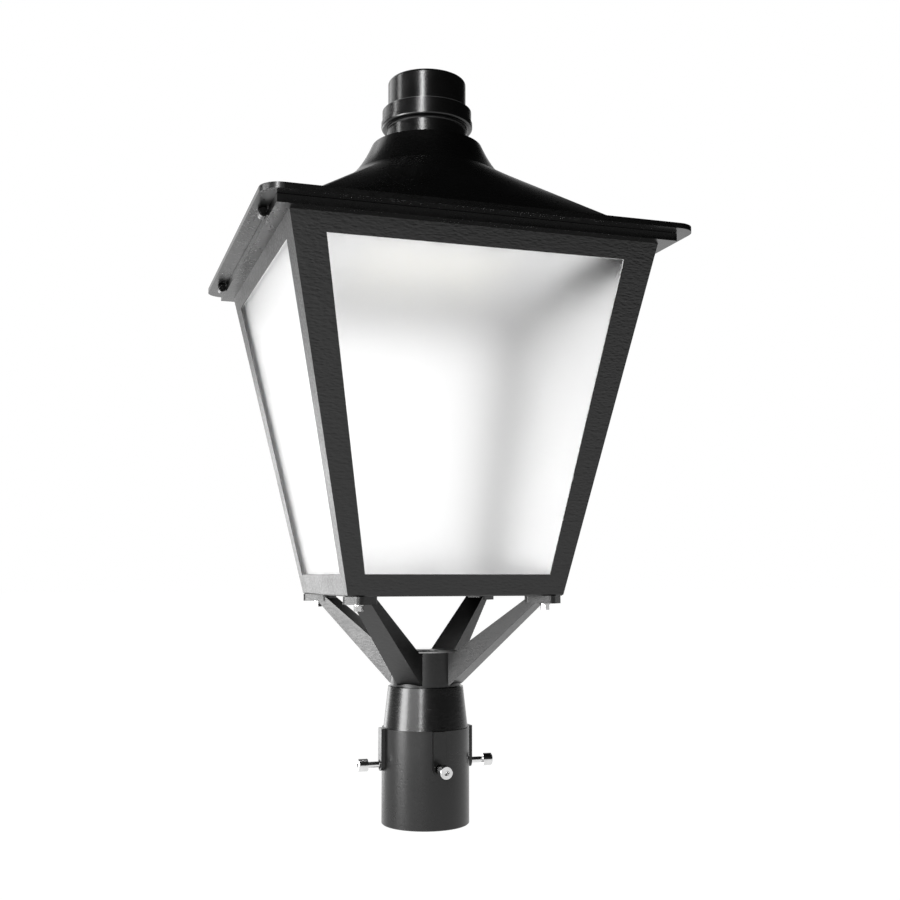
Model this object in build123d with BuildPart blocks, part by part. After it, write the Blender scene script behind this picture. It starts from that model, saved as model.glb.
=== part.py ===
from build123d import *
from math import atan, cos, degrees, radians, sin, sqrt
import os

os.makedirs("parts", exist_ok=True)

# Post top lantern, in millimetres. Z points up along the post, the front is -Y and
# the roof's hinge side is -X. The origin is the centre of the fitter's open end.

# post fitter
post_diameter = 76.2
post_clearance = 0.4
post_depth = 83.5
fitter_wall = 5.5
fitter_height = 94.5
fitter_edge = 0.8
pad_width = 12.5
pad_proud = 3.6

# set screws
set_screw_height = 59.2
set_screw_diameter = 6.0
set_screw_tip_inset = 0.7
set_screw_reach = 60.4
set_screw_head_diameter = 12.4
set_screw_head_length = 9.6
set_screw_edge = 0.6
set_screw_countersink = 1.8
hex_key = 5.0
hex_key_depth = 4.0
screw_clearance = 0.05
blind_play = 0.4

# cone collar
cone_height = 40.5
cone_base_step = 1.5
cone_top_radius = 37.9
cone_wall = 5.0
cone_web = 6.0
spigot_step = 1.0
spigot_gap = 0.5
wire_hole_radius = 14.0

# yoke
hub_radius = 35.4
hub_height = 33.5
hub_groove = 1.0
hub_groove_depth = 2.4
arm_root_width = 29.0
arm_tip_width = 20.0
arm_root_rise = 1.5
arm_overlap = 4.0
arm_bury = 1.5
arm_crest = 2.8
arm_crest_end = 4.4
arm_washer_gap = 0.7
cage_rise = 91.5
foot_width = 22.0
foot_length = 32.0
foot_thickness = 7.4
foot_corner_inset = 19.19
foot_setback = 2.3
foot_corner_radius = 5.0
hub_screw_circle = 46.0
hub_screw_count = 4
hub_screw_diameter = 6.0
hub_screw_grip = 14.0

# foot bolts
foot_bolt_diameter = 5.0
foot_bolt_head = 8.0
foot_bolt_head_height = 5.0
foot_bolt_grip = 8.0
washer_diameter = 10.6
washer_thickness = 1.2
foot_boss_diameter = 12.0
foot_boss_height = 8.0

# cage
cage_bottom_width = 212.4
cage_top_width = 354.8
cage_height = 335.0
cage_wall = 3.0
cage_floor = 4.0
cage_floor_land = 44.2
cage_edge = 1.2
post_width_low = 19.2
post_width_high = 30.0
rail_low = 20.2
rail_high = 17.4
rail_lip_thickness = 1.8
rail_lip_depth = 5.0
rail_lip_margin = 24.0
rib_bury = 0.5

# frosted panes and what holds them
pane_flange = 2.4
pane_sink = 0.4
pane_overlap = 8.0
gasket_thickness = 1.0
gasket_width = 6.0
pane_play = 0.3
clip_count = 3
clip_edge_inset = 69.1
clip_width = 9.0
clip_foot = 6.6
clip_tongue = 7.0
clip_gauge = 1.4
clip_screw_diameter = 3.0
clip_screw_bite = 2.0
pan_head_spread = 0.9
pan_head_rise = 0.6
cap_head_spread = 0.8

# floor reflector and cable gland
floor_plate_margin = 13.2
floor_plate_gauge = 2.0
floor_screw_inset = 15.0
floor_boss_gap = 1.0
small_screw_diameter = 4.0
gland_diameter = 20.0
gland_flange = 13.5
gland_height = 16.0
gland_nut_height = 5.6
gland_cap_radius = 12.15
gland_edge = 2.5
gland_bore = 9.0

# top rim and its seal
rim_ledge = 13.1
rim_thickness = 7.4
rim_land = 21.4
rim_screw_inset = 12.4
rim_screw_diameter = 5.0
rim_screw_bite = 12.0
rim_screw_head_radius = 4.4
countersink_play = 0.3
head_sink = 0.2
gusset_width = 16.0
gusset_height = 15.0
seal_inset = 5.4
seal_width = 6.0
seal_depth = 3.0
seal_play = 0.2
seal_proud = 0.1
roof_gap = 0.3

# roof
roof_overhang = 15.0
roof_corner = 19.0
flange_thickness = 5.2
brim_width = 33.5
hat_base_corner = 6.0
hat_shoulder_radius = 80.0
hat_shoulder_rise = 87.0
hat_top_radius = 52.5
hat_bell_rise = 43.0
hat_bell_hollow = 3.0
hat_wall = 4.0
hat_skirt_wall = 6.4
tray_lap = 13.0
hat_top_plate = 5.0

# hinge
hinge_stand_off = 4.8
hinge_drop = 4.8
hinge_barrel_radius = 4.2
hinge_pin_radius = 2.0
hinge_pin_head_radius = 3.4
hinge_pin_head = 1.6
hinge_ear = 5.0
hinge_gap = 0.3
hinge_inset = 45.9
hinge_ear_lift = 0.2
pin_clearance = 0.05

# captive roof screws
roof_screw_inset = 80.5
roof_screw_diameter = 4.0
roof_screw_head_diameter = 8.0
roof_screw_head_height = 4.0
roof_screw_bite = 3.6
roof_screw_clearance = 0.4

# light engine
tray_play = 3.0
tray_gauge = 3.0
tray_screw_inset = 7.0
tray_screw_bite = 4.0
reflector_margin = 13.0
reflector_depth = 7.0
reflector_gauge = 1.2
reflector_window_gap = 3.0
reflector_screw_inset = 5.0
reflector_screw_count = 4
reflector_screw_head = 7.6
reflector_screw_head_height = 3.6
board_width = 170.0
board_gauge = 1.6
led_rows = 6
led_pitch = 26.0
led_size = 5.0
led_height = 1.2
driver_length = 118.0
driver_width = 62.0
driver_height = 34.0
driver_tab = 10.0
driver_tab_gauge = 3.0
driver_corner = 4.0
driver_edge = 1.5
terminal_length = 40.0
terminal_width = 22.0
terminal_height = 16.0
terminal_tab = 9.0
terminal_count = 3
terminal_pitch = 12.0
terminal_bore = 5.0
terminal_well = 6.0

# photocell socket and cap
socket_radius = 42.6
socket_height = 11.0
socket_spigot_radius = 21.0
socket_spigot_length = 14.0
socket_fit = 0.1
blade_circle = 24.0
blade_count = 3
blade_thickness = 1.6
blade_width = 6.4
blade_length = 10.0
blade_play = 0.5
blade_end_gap = 2.0
twist_angle = 35.0
cap_seal_thickness = 1.2
cap_seal_inner = 72.0
cap_lip_radius = 48.5
cap_lip_height = 7.0
cap_ring_radius = 47.4
cap_ring_height = 19.5
cap_ring_round = 3.0
cap_body_radius = 41.4
cap_height = 52.5
cap_top_round = 3.0
cap_wall = 2.5
cap_base_thickness = 5.0

# heights and shared places
bore_radius = post_diameter / 2 + post_clearance
fitter_radius = bore_radius + fitter_wall
spigot_radius = bore_radius + spigot_step - screw_clearance
spigot_base = post_depth + spigot_gap
cone_top = fitter_height + cone_height
hub_base = cone_top + hub_groove
hub_top = hub_base + hub_height
cage_bottom = cone_top + cage_rise
cage_top = cage_bottom + cage_height
foot_bottom = cage_bottom - foot_thickness
rim_top = cage_top + rim_thickness
flange_bottom = rim_top + roof_gap
flange_top = flange_bottom + flange_thickness
shoulder_height = flange_top + hat_shoulder_rise
hat_top = shoulder_height + hat_bell_rise
socket_top = hat_top + socket_height
tilt = degrees(atan((cage_top_width - cage_bottom_width) / 2 / cage_height))
slope = cos(radians(tilt))
wall_run = cage_wall / slope
foot_radius = cage_bottom_width / sqrt(2) - foot_corner_inset
foot_tip = foot_radius - washer_diameter / 2 - arm_washer_gap
arm_start = wire_hole_radius + arm_overlap
cage_floor_opening = cage_bottom_width - 2 * cage_floor_land
floor_plate_width = cage_bottom_width - 2 * floor_plate_margin
floor_screw_offset = floor_plate_width / 2 - floor_screw_inset
rim_width = cage_top_width + 2 * rim_ledge
rim_opening = cage_top_width - 2 * rim_land
rim_screw_spacing = cage_top_width - 2 * rim_screw_inset
seal_inner = cage_top_width - 2 * seal_inset
seal_outer = seal_inner + 2 * seal_width
roof_width = rim_width + 2 * roof_overhang
hat_base_width = roof_width - 2 * brim_width
hinge_spacing = rim_width - 2 * hinge_inset
roof_screw_spacing = rim_width - 2 * roof_screw_inset
tray_width = rim_opening - 2 * tray_play
roof_opening = tray_width - 2 * tray_lap
reflector_width = tray_width - 2 * reflector_margin
reflector_window = board_width + 2 * reflector_window_gap
reflector_screw_offset = reflector_width / 2 - reflector_screw_inset
reflector_screw_pitch = 2 * reflector_screw_offset / (reflector_screw_count + 1)
sides = (0, 90, 180, 270)
corners = [side + 45 for side in sides]
full_turn = 360


def cage_half(height):
    rise = (height - cage_bottom) / cage_height
    return (cage_bottom_width + (cage_top_width - cage_bottom_width) * rise) / 2


def side_plane(turn, inset=0.0):
    # the sloping outer face of one side, or a plane that far inside it
    outward = Vector(sin(radians(turn)), -cos(radians(turn)), 0)
    normal = outward * slope - Vector(0, 0, sin(radians(tilt)))
    foot = outward * (cage_bottom_width / 2) + Vector(0, 0, cage_bottom)
    along = Vector(cos(radians(turn)), sin(radians(turn)), 0)
    return Plane(origin=foot - normal * inset, x_dir=along, z_dir=normal)


# a side's own measures: up its slope from the cage's lower edge
window_low = rail_low / slope
window_high = (cage_height - rail_high) / slope
window_low_half = cage_half(cage_bottom + rail_low) - post_width_low
window_high_half = cage_half(cage_top - rail_high) - post_width_high
pane_low = window_low - pane_overlap
pane_high = window_high + pane_overlap
window_flare = (window_high_half - window_low_half) / (window_high - window_low)
pane_low_half = window_low_half + pane_overlap * (1 - window_flare)
pane_high_half = window_high_half + pane_overlap * (1 + window_flare)
pane_inset = cage_wall + gasket_thickness
pane_back = pane_inset + pane_flange
clip_pitch = 2 * (pane_high_half - clip_edge_inset) / (clip_count - 1)
clip_places = [(i - (clip_count - 1) / 2) * clip_pitch for i in range(clip_count)]
clip_screw_height = pane_high + pane_play + clip_foot / 2


# hinge along the roof's left edge, under the brim
hinge_x = -rim_width / 2 - hinge_stand_off
hinge_z = flange_bottom - hinge_drop
hinge_places = (-hinge_spacing / 2, hinge_spacing / 2)

# screws that hold the tray, the reflector and the driver
tray_bottom = flange_bottom - tray_gauge
tray_screw_offset = tray_width / 2 - tray_screw_inset
tray_screw_places = [(x, y) for x in (-1, 0, 1) for y in (-1, 0, 1) if (x, y) != (0, 0)]
tray_screw_places = [(x * tray_screw_offset, y * tray_screw_offset) for x, y in tray_screw_places]
reflector_screw_row = [(i - (reflector_screw_count - 1) / 2) * reflector_screw_pitch
                       for i in range(reflector_screw_count)]
reflector_screw_places = [(x, y) for x in reflector_screw_row
                          for y in (-reflector_screw_offset, reflector_screw_offset)]
reflector_screw_places += [(y, x) for x, y in reflector_screw_places]
driver_screw_x = (driver_length + driver_tab) / 2
driver_screw_places = [(-driver_screw_x, 0), (driver_screw_x, 0)]
terminal_x = (driver_length / 2 + driver_tab + roof_opening / 2) / 2
terminal_screw_y = (terminal_length + terminal_tab) / 2
terminal_screw_places = [(terminal_x, -terminal_screw_y), (terminal_x, terminal_screw_y)]
terminal_row = [(i - (terminal_count - 1) / 2) * terminal_pitch for i in range(terminal_count)]

# captive screws on the side away from the hinge
roof_screw_x = (rim_width + cage_top_width) / 4
roof_screw_places = {"front": (roof_screw_x, -roof_screw_spacing / 2),
                     "back": (roof_screw_x, roof_screw_spacing / 2)}


def hinge_plane(y):
    # stands across the hinge line at y: local x is X, local y is Z, facing the front
    return Plane(origin=(0, y, 0), x_dir=(1, 0, 0), z_dir=(0, -1, 0))


def trapezoid(low, high, low_half, high_half):
    return Polygon((-low_half, low), (low_half, low), (high_half, high), (-high_half, high), align=None)


# fitter: a tube over the post, with a pad for each set screw and a wider socket for the cone
with BuildPart() as post_sleeve:
    with BuildSketch():
        Circle(fitter_radius)
    extrude(amount=fitter_height)
    chamfer(post_sleeve.edges().group_by(Axis.Z)[0], fitter_edge)
    for turn in sides:
        pad_plane = Plane(origin=(0, 0, 0), x_dir=(cos(radians(turn)), sin(radians(turn)), 0),
                          z_dir=(sin(radians(turn)), -cos(radians(turn)), 0))
        with BuildSketch(pad_plane.offset(bore_radius + fitter_wall / 2)):
            with Locations((0, (set_screw_height + fitter_height) / 2)):
                Rectangle(pad_width, fitter_height - set_screw_height)
            with Locations((0, set_screw_height)):
                Circle(pad_width / 2)
        extrude(amount=fitter_wall / 2 + pad_proud)
        with Locations(pad_plane.offset(fitter_radius + pad_proud) * Pos(0, set_screw_height)):
            CounterSinkHole(set_screw_diameter / 2 + screw_clearance,
                            set_screw_diameter / 2 + set_screw_countersink, depth=2 * fitter_wall + pad_proud)
    with BuildSketch():
        Circle(bore_radius)
    extrude(amount=fitter_height, mode=Mode.SUBTRACT)
    with BuildSketch(Plane.XY.offset(post_depth)):
        Circle(bore_radius + spigot_step)
    extrude(amount=fitter_height - post_depth, mode=Mode.SUBTRACT)
post_sleeve.part.label = "post_sleeve"
export_step(post_sleeve.part, "parts/post_sleeve.step")

# set screws, one for each side: cylinder head with a hex recess
side_names = {0: "front", 90: "right", 180: "back", 270: "left"}
for turn, side in side_names.items():
    screw_plane = Plane(origin=(0, 0, set_screw_height), x_dir=(cos(radians(turn)), sin(radians(turn)), 0),
                        z_dir=(sin(radians(turn)), -cos(radians(turn)), 0))
    with BuildPart() as set_screw:
        with BuildSketch(screw_plane.offset(bore_radius + set_screw_tip_inset)):
            Circle(set_screw_diameter / 2)
        extrude(amount=set_screw_reach - bore_radius - set_screw_tip_inset)
        with BuildSketch(screw_plane.offset(set_screw_reach)):
            Circle(set_screw_head_diameter / 2)
        extrude(amount=set_screw_head_length)
        rim_edge = set_screw.edges().filter_by(GeomType.CIRCLE).sort_by(lambda e: e.center().length)[-1]
        chamfer(rim_edge, set_screw_edge)
        with BuildSketch(screw_plane.offset(set_screw_reach + set_screw_head_length)):
            RegularPolygon(hex_key / 2, 6, major_radius=False)
        extrude(amount=-hex_key_depth, mode=Mode.SUBTRACT)
    set_screw.part.label = "set_screw_" + side
    export_step(set_screw.part, "parts/set_screw_" + side + ".step")

# cone collar: its spigot drops into the fitter and stops the post
with BuildPart() as cone_collar:
    with BuildSketch(Plane.XZ):
        with BuildLine():
            Polyline((wire_hole_radius, cone_top), (cone_top_radius, cone_top),
                     (fitter_radius - cone_base_step, fitter_height),
                     (spigot_radius, fitter_height), (spigot_radius, spigot_base),
                     (bore_radius - cone_wall, spigot_base),
                     (bore_radius - cone_wall, fitter_height),
                     (cone_top_radius - cone_wall, cone_top - cone_web),
                     (wire_hole_radius, cone_top - cone_web), close=True)
        make_face()
    revolve(axis=Axis.Z)
    with Locations(Plane.XY.offset(cone_top)):
        with PolarLocations(hub_screw_circle / 2, hub_screw_count, start_angle=corners[0]):
            Hole(hub_screw_diameter / 2 + screw_clearance, depth=cone_web)
cone_collar.part.label = "cone_collar"
export_step(cone_collar.part, "parts/cone_collar.step")

# yoke: a hub with four arms on the diagonals, each narrowing both ways to a foot
with BuildPart() as yoke:
    for corner in corners:
        arm_plane = Plane(origin=(0, 0, 0), x_dir=(cos(radians(corner)), sin(radians(corner)), 0),
                          z_dir=(sin(radians(corner)), -cos(radians(corner)), 0))
        with BuildSketch(arm_plane):
            Polygon((arm_start, hub_base + arm_root_rise), (hub_radius - arm_bury, hub_base + arm_root_rise),
                    (foot_tip, foot_bottom), (foot_tip, cage_bottom),
                    (foot_radius - foot_length / 2 + arm_crest_end, cage_bottom),
                    (hub_radius + arm_crest, hub_top), (arm_start, hub_top), align=None)
        extrude(amount=arm_root_width / 2, both=True)
    with BuildSketch(Plane.XY.offset(cone_top)):
        with PolarLocations(0, len(corners), start_angle=corners[0]):
            Polygon((arm_start, -arm_root_width / 2), (foot_tip, -arm_tip_width / 2),
                    (foot_tip, arm_tip_width / 2), (arm_start, arm_root_width / 2), align=None)
    extrude(amount=cage_rise, mode=Mode.INTERSECT)
    with BuildSketch(Plane.XY.offset(cone_top)):
        Circle(hub_radius - hub_groove_depth)
    extrude(amount=hub_groove)
    with BuildSketch(Plane.XY.offset(hub_base)):
        Circle(hub_radius)
    extrude(amount=hub_height)
    with BuildSketch(Plane.XY.offset(foot_bottom)):
        with PolarLocations(foot_radius - foot_setback, len(corners), start_angle=corners[0]):
            RectangleRounded(foot_length, foot_width, foot_corner_radius)
    extrude(amount=foot_thickness)
    with Locations(Plane.XY.offset(hub_top)):
        Hole(wire_hole_radius, depth=hub_top)
    with Locations(Plane(origin=(0, 0, cone_top), z_dir=(0, 0, -1))):
        with PolarLocations(hub_screw_circle / 2, hub_screw_count, start_angle=corners[0]):
            Hole(hub_screw_diameter / 2 + screw_clearance, depth=hub_screw_grip + blind_play)
    with Locations(Plane(origin=(0, 0, foot_bottom), z_dir=(0, 0, -1))):
        with PolarLocations(foot_radius, len(corners), start_angle=corners[0]):
            Hole(foot_bolt_diameter / 2 + screw_clearance, depth=foot_thickness)
yoke.part.label = "yoke"
export_step(yoke.part, "parts/yoke.step")

# screws from inside the cone up into the hub
with BuildPart() as hub_screws:
    with BuildSketch(Plane.XY.offset(cone_top - cone_web - hub_screw_diameter)):
        with PolarLocations(hub_screw_circle / 2, hub_screw_count, start_angle=corners[0]):
            Circle(hub_screw_diameter * cap_head_spread)
    extrude(amount=hub_screw_diameter)
    with BuildSketch(Plane.XY.offset(cone_top - cone_web)):
        with PolarLocations(hub_screw_circle / 2, hub_screw_count, start_angle=corners[0]):
            Circle(hub_screw_diameter / 2)
    extrude(amount=cone_web + hub_screw_grip)
hub_screws.part.label = "hub_screws"
export_step(hub_screws.part, "parts/hub_screws.step")

# foot bolts and washers
with BuildPart() as foot_washers:
    with BuildSketch(Plane.XY.offset(foot_bottom - washer_thickness)):
        with PolarLocations(foot_radius, len(corners), start_angle=corners[0]):
            Circle(washer_diameter / 2)
            Circle(foot_bolt_diameter / 2 + screw_clearance, mode=Mode.SUBTRACT)
    extrude(amount=washer_thickness)
foot_washers.part.label = "foot_washers"
export_step(foot_washers.part, "parts/foot_washers.step")

with BuildPart() as foot_bolts:
    with BuildSketch(Plane.XY.offset(foot_bottom - washer_thickness - foot_bolt_head_height)):
        with PolarLocations(foot_radius, len(corners), start_angle=corners[0]):
            RegularPolygon(foot_bolt_head / 2, 6, major_radius=False)
    extrude(amount=foot_bolt_head_height)
    with BuildSketch(Plane.XY.offset(foot_bottom - washer_thickness)):
        with PolarLocations(foot_radius, len(corners), start_angle=corners[0]):
            Circle(foot_bolt_diameter / 2)
    extrude(amount=washer_thickness + foot_thickness + foot_bolt_grip)
foot_bolts.part.label = "foot_bolts"
export_step(foot_bolts.part, "parts/foot_bolts.step")

# cage: a square frame that widens upwards, one window in each side
with BuildPart() as cage_frame:
    with BuildSketch(Plane.XY.offset(cage_bottom)):
        Rectangle(cage_bottom_width, cage_bottom_width)
    extrude(amount=cage_height, taper=-tilt)
    chamfer(cage_frame.edges().group_by(Axis.Z)[0], cage_edge)
    inside_width = 2 * (cage_half(cage_bottom + cage_floor) - wall_run)
    with BuildSketch(Plane.XY.offset(cage_bottom + cage_floor)):
        Rectangle(inside_width, inside_width)
    extrude(amount=cage_height, taper=-tilt, mode=Mode.SUBTRACT)
    with BuildSketch(Plane.XY.offset(cage_bottom)):
        Rectangle(cage_floor_opening, cage_floor_opening)
    extrude(amount=cage_floor, mode=Mode.SUBTRACT)
    with BuildSketch(Plane.XY.offset(cage_bottom + cage_floor / 2)):
        with PolarLocations(foot_radius, len(corners), start_angle=corners[0]):
            Circle(foot_boss_diameter / 2)
    extrude(amount=cage_floor / 2 + foot_boss_height)
    with BuildSketch(Plane.XY.offset(cage_top - gusset_height)):
        with GridLocations(rim_screw_spacing, rim_screw_spacing, 2, 2):
            Rectangle(gusset_width, gusset_width)
    extrude(amount=gusset_height, taper=-tilt)
    for turn in sides:
        with BuildSketch(side_plane(turn)):
            trapezoid(window_low, window_high, window_low_half, window_high_half)
        extrude(amount=2 * cage_wall, both=True, mode=Mode.SUBTRACT)
        # a channel that the pane's lower edge stands in
        lip_depth = pane_back - cage_wall + pane_play + rail_lip_thickness
        with BuildSketch(side_plane(turn, cage_wall - rib_bury)):
            with Locations((0, pane_low - pane_play + (rail_lip_depth - rail_lip_thickness) / 2)):
                Rectangle(2 * (pane_low_half - rail_lip_margin), rail_lip_depth + rail_lip_thickness)
        extrude(amount=-lip_depth - rib_bury)
        with BuildSketch(side_plane(turn, cage_wall)):
            with Locations((0, pane_low - pane_play + rail_lip_depth / 2)):
                Rectangle(2 * pane_low_half, rail_lip_depth)
        extrude(amount=cage_wall - pane_back - pane_play, mode=Mode.SUBTRACT)
        with BuildSketch(side_plane(turn, cage_wall)):
            with Locations(*[(x, clip_screw_height) for x in clip_places]):
                Circle(clip_screw_diameter / 2 + screw_clearance)
        extrude(amount=clip_screw_bite + blind_play, mode=Mode.SUBTRACT)
    with Locations(Plane(origin=(0, 0, cage_bottom), z_dir=(0, 0, -1))):
        with PolarLocations(foot_radius, len(corners), start_angle=corners[0]):
            Hole(foot_bolt_diameter / 2 + screw_clearance, depth=foot_bolt_grip + blind_play)
    with Locations(Plane.XY.offset(cage_bottom + cage_floor)):
        with PolarLocations(floor_screw_offset, len(sides)):
            Hole(small_screw_diameter / 2 + screw_clearance, depth=cage_floor)
    with Locations(Plane.XY.offset(cage_top)):
        with GridLocations(rim_screw_spacing, rim_screw_spacing, 2, 2):
            Hole(rim_screw_diameter / 2 + screw_clearance, depth=rim_screw_bite + blind_play)
cage_frame.part.label = "cage_frame"
export_step(cage_frame.part, "parts/cage_frame.step")

# frosted panes: a thin flange behind the frame, and a raised middle that fills the window
for turn, side in side_names.items():
    with BuildPart() as pane:
        with BuildSketch(side_plane(turn, pane_inset)):
            trapezoid(pane_low, pane_high, pane_low_half, pane_high_half)
        extrude(amount=-pane_flange)
        with BuildSketch(side_plane(turn, pane_sink)):
            trapezoid(window_low + pane_play, window_high - pane_play,
                      window_low_half - pane_play, window_high_half - pane_play)
        extrude(amount=pane_sink - pane_inset)
    pane.part.label = "pane_" + side
    export_step(pane.part, "parts/pane_" + side + ".step")

# a flat seal between each pane and the frame
with BuildPart() as pane_gaskets:
    for turn in sides:
        with BuildSketch(side_plane(turn, cage_wall)):
            trapezoid(pane_low, pane_high, pane_low_half, pane_high_half)
            inner_low_half = pane_low_half - gasket_width * (1 - window_flare)
            inner_high_half = pane_high_half - gasket_width * (1 + window_flare)
            Polygon((-inner_low_half, pane_low + gasket_width), (inner_low_half, pane_low + gasket_width),
                    (inner_high_half, pane_high - gasket_width), (-inner_high_half, pane_high - gasket_width),
                    align=None, mode=Mode.SUBTRACT)
        extrude(amount=-gasket_thickness)
pane_gaskets.part.label = "pane_gaskets"
export_step(pane_gaskets.part, "parts/pane_gaskets.step")

# clips along the head of each pane, with a screw each
with BuildPart() as pane_clips:
    for turn in sides:
        with BuildSketch(side_plane(turn, cage_wall)):
            with Locations(*[(x, clip_screw_height) for x in clip_places]):
                Rectangle(clip_width, clip_foot)
        extrude(amount=cage_wall - pane_back)
        with BuildSketch(side_plane(turn, pane_back)):
            with Locations(*[(x, clip_screw_height - clip_tongue / 2) for x in clip_places]):
                Rectangle(clip_width, clip_foot + clip_tongue)
        extrude(amount=-clip_gauge)
        with BuildSketch(side_plane(turn, cage_wall)):
            with Locations(*[(x, clip_screw_height) for x in clip_places]):
                Circle(clip_screw_diameter / 2 + screw_clearance)
        extrude(amount=-pane_back - clip_gauge, mode=Mode.SUBTRACT)
pane_clips.part.label = "pane_clips"
export_step(pane_clips.part, "parts/pane_clips.step")

with BuildPart() as clip_screws:
    for turn in sides:
        with BuildSketch(side_plane(turn, pane_back + clip_gauge)):
            with Locations(*[(x, clip_screw_height) for x in clip_places]):
                Circle(clip_screw_diameter * pan_head_spread)
        extrude(amount=-clip_screw_diameter * pan_head_rise)
        with BuildSketch(side_plane(turn, pane_back + clip_gauge)):
            with Locations(*[(x, clip_screw_height) for x in clip_places]):
                Circle(clip_screw_diameter / 2)
        extrude(amount=pane_back + clip_gauge - cage_wall + clip_screw_bite)
clip_screws.part.label = "clip_screws"
export_step(clip_screws.part, "parts/clip_screws.step")

# floor reflector, its screws and the cable gland
with BuildPart() as floor_plate:
    with BuildSketch(Plane.XY.offset(cage_bottom + cage_floor)):
        Rectangle(floor_plate_width, floor_plate_width)
        with PolarLocations(foot_radius, len(corners), start_angle=corners[0]):
            Circle(foot_boss_diameter / 2 + floor_boss_gap, mode=Mode.SUBTRACT)
        with PolarLocations(floor_screw_offset, len(sides)):
            Circle(small_screw_diameter / 2 + screw_clearance, mode=Mode.SUBTRACT)
        Circle(gland_diameter / 2 + screw_clearance, mode=Mode.SUBTRACT)
    extrude(amount=floor_plate_gauge)
floor_plate.part.label = "floor_plate"
export_step(floor_plate.part, "parts/floor_plate.step")

floor_plate_top = cage_bottom + cage_floor + floor_plate_gauge
with BuildPart() as floor_screws:
    with BuildSketch(Plane.XY.offset(floor_plate_top)):
        with PolarLocations(floor_screw_offset, len(sides)):
            Circle(small_screw_diameter * pan_head_spread)
    extrude(amount=small_screw_diameter * pan_head_rise)
    with BuildSketch(Plane.XY.offset(cage_bottom + blind_play)):
        with PolarLocations(floor_screw_offset, len(sides)):
            Circle(small_screw_diameter / 2)
    extrude(amount=floor_plate_top - cage_bottom - blind_play)
floor_screws.part.label = "floor_screws"
export_step(floor_screws.part, "parts/floor_screws.step")

with BuildPart() as cable_gland:
    with BuildSketch(Plane.XY.offset(floor_plate_top)):
        RegularPolygon(gland_flange, 6, major_radius=False)
    extrude(amount=gland_nut_height)
    with BuildSketch(Plane.XY.offset(floor_plate_top + gland_nut_height)):
        Circle(gland_cap_radius)
    extrude(amount=gland_height - gland_nut_height)
    chamfer(cable_gland.edges().group_by(Axis.Z)[-1], gland_edge)
    with BuildSketch(Plane.XY.offset(cage_bottom)):
        Circle(gland_diameter / 2)
    extrude(amount=floor_plate_top - cage_bottom)
    with Locations(Plane.XY.offset(floor_plate_top + gland_height)):
        Hole(gland_bore / 2, depth=gland_height + floor_plate_top)
cable_gland.part.label = "cable_gland"
export_step(cable_gland.part, "parts/cable_gland.step")

# top rim: a square ring round the head of the cage, with the fixed hinge ears
with BuildPart() as top_rim:
    with BuildSketch(Plane.XY.offset(cage_top)):
        Rectangle(rim_width, rim_width)
        Rectangle(rim_opening, rim_opening, mode=Mode.SUBTRACT)
    extrude(amount=rim_thickness)
    with BuildSketch(Plane.XY.offset(rim_top)):
        Rectangle(seal_outer, seal_outer)
        Rectangle(seal_inner, seal_inner, mode=Mode.SUBTRACT)
    extrude(amount=-seal_depth, mode=Mode.SUBTRACT)
    for y in hinge_places:
        with BuildSketch(hinge_plane(y - hinge_gap / 2)):
            with Locations((hinge_x, hinge_z)):
                Circle(hinge_barrel_radius)
            with Locations((hinge_x + hinge_stand_off / 2 + rib_bury, hinge_z)):
                Rectangle(hinge_stand_off + 2 * rib_bury, 2 * (hinge_z - cage_top - hinge_ear_lift))
            with Locations((hinge_x, hinge_z)):
                Circle(hinge_pin_radius + pin_clearance, mode=Mode.SUBTRACT)
        extrude(amount=hinge_ear)
    with Locations(Plane.XY.offset(rim_top)):
        with GridLocations(rim_screw_spacing, rim_screw_spacing, 2, 2):
            CounterSinkHole(rim_screw_diameter / 2 + screw_clearance,
                            rim_screw_head_radius + countersink_play, depth=rim_thickness)
        with Locations(*roof_screw_places.values()):
            Hole(roof_screw_diameter / 2 + screw_clearance, depth=rim_thickness)
top_rim.part.label = "top_rim"
export_step(top_rim.part, "parts/top_rim.step")

# countersunk screws hold the rim to the cage's corner gussets
with BuildPart() as rim_screws:
    with BuildSketch(Plane.XY.offset(rim_top - head_sink)):
        with GridLocations(rim_screw_spacing, rim_screw_spacing, 2, 2):
            Circle(rim_screw_head_radius)
    extrude(amount=rim_screw_diameter / 2 - rim_screw_head_radius, taper=45)
    with BuildSketch(Plane.XY.offset(rim_top - 2 * head_sink)):
        with GridLocations(rim_screw_spacing, rim_screw_spacing, 2, 2):
            Circle(rim_screw_diameter / 2)
    extrude(amount=2 * head_sink - rim_thickness - rim_screw_bite)
rim_screws.part.label = "rim_screws"
export_step(rim_screws.part, "parts/rim_screws.step")

# rubber seal in the rim's groove
with BuildPart() as roof_seal:
    with BuildSketch(Plane.XY.offset(rim_top - seal_depth)):
        Rectangle(seal_outer - 2 * seal_play, seal_outer - 2 * seal_play)
        Rectangle(seal_inner + 2 * seal_play, seal_inner + 2 * seal_play, mode=Mode.SUBTRACT)
    extrude(amount=seal_depth + seal_proud)
roof_seal.part.label = "roof_seal"
export_step(roof_seal.part, "parts/roof_seal.step")

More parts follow.
